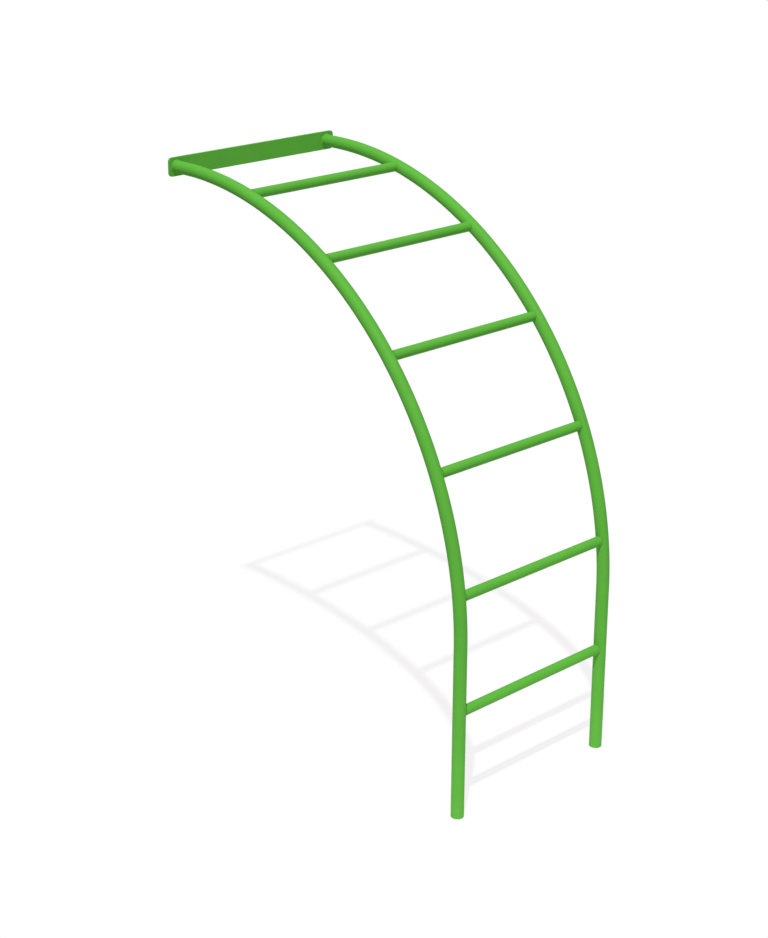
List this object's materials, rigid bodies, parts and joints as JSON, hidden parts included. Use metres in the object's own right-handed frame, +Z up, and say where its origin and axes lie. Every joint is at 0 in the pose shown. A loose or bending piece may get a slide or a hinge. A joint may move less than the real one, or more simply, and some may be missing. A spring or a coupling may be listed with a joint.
{
  "type": "monkey bars",
  "caption": "Arched monkey-bar climber: two bent tube rails joined by round rungs, with a flat plate that bolts the top to a play deck and straight legs that stand on the ground.",
  "frame": {"origin": "centre of the two deck bolt holes, on the back face of the deck plate", "axes": "+X out from the deck towards the feet, +Y along the rungs, +Z up"},
  "size_m": [1.0872, 0.5754, 1.5007],
  "materials": {
    "green_powder_coat": "satin",
    "zinc_steel": "satin"
  },
  "bodies": {
    "root": {"deck_plate": "green_powder_coat", "left_rail": "green_powder_coat", "right_rail": "green_powder_coat", "rung_1": "green_powder_coat", "rung_2": "green_powder_coat", "rung_3": "green_powder_coat", "rung_4": "green_powder_coat", "rung_5": "green_powder_coat", "rung_6": "green_powder_coat", "left_rail_insert": "zinc_steel", "right_rail_insert": "zinc_steel", "left_foot_disc": "green_powder_coat", "right_foot_disc": "green_powder_coat", "left_plate_weld": "green_powder_coat", "right_plate_weld": "green_powder_coat", "rung_1_welds": "green_powder_coat", "rung_2_welds": "green_powder_coat", "rung_3_welds": "green_powder_coat", "rung_4_welds": "green_powder_coat", "rung_5_welds": "green_powder_coat", "rung_6_welds": "green_powder_coat"}
  },
  "joints": []
}
